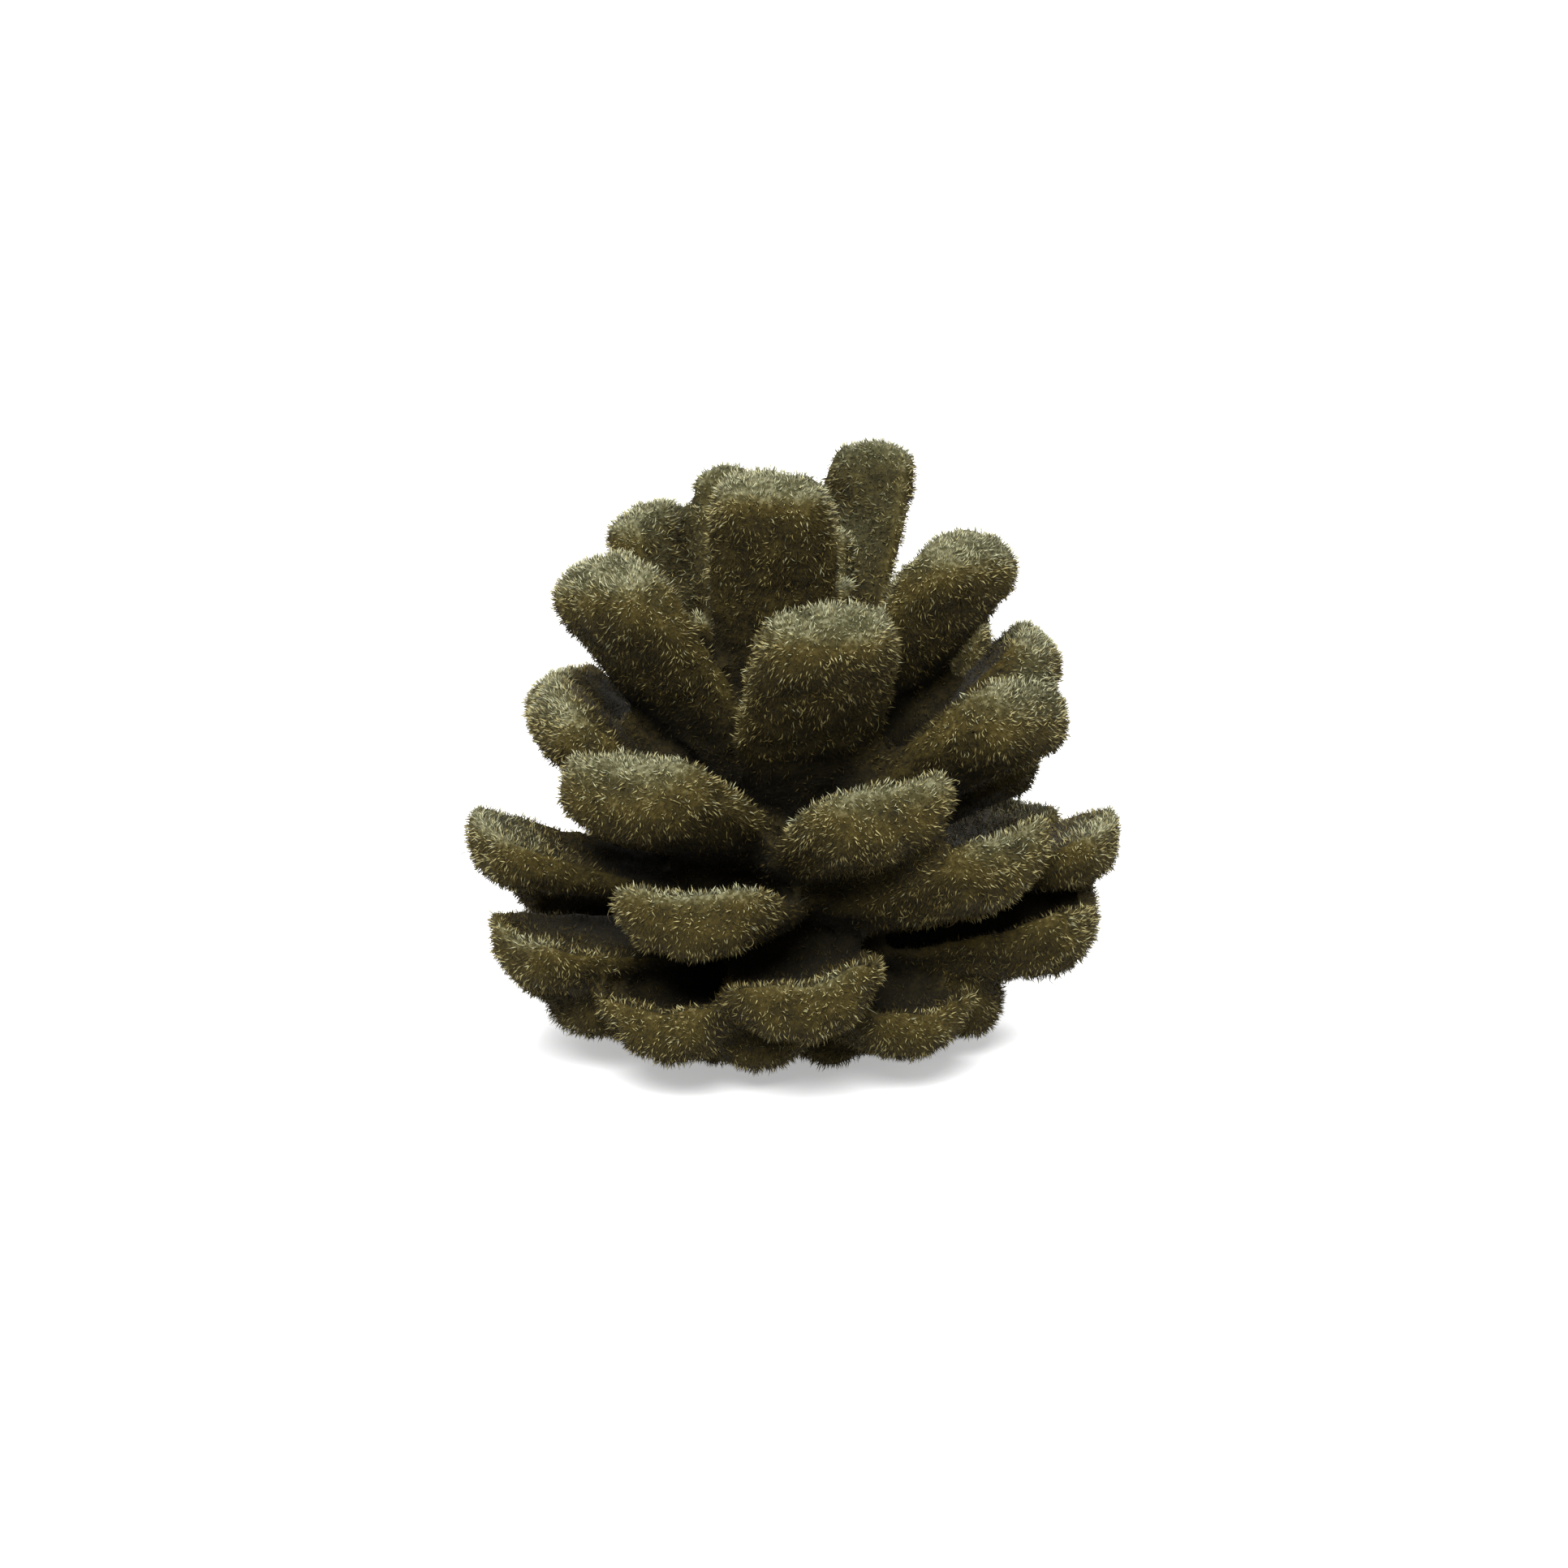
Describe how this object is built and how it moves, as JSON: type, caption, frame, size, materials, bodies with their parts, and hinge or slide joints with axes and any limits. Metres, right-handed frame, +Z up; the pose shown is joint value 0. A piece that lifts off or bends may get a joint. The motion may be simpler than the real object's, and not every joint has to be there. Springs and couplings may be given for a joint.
{
  "type": "pine cone",
  "caption": "Dried, fully opened pine cone with blunt, spiralling woody scales and a coat of short moss-green flock fibres, standing on its flat stalk scar.",
  "frame": {"origin": "middle of the flat stalk scar that the cone stands on", "axes": "+Z up along the cone's axis to the apex, -Y to the front, +X to the right seen from the front"},
  "size_m": [0.0625, 0.062, 0.0589],
  "materials": {
    "moss_flock": "matt coat of short olive to sage-green flock fibres over dry brown scales"
  },
  "bodies": {
    "root": {"cone": "moss_flock"}
  },
  "joints": []
}
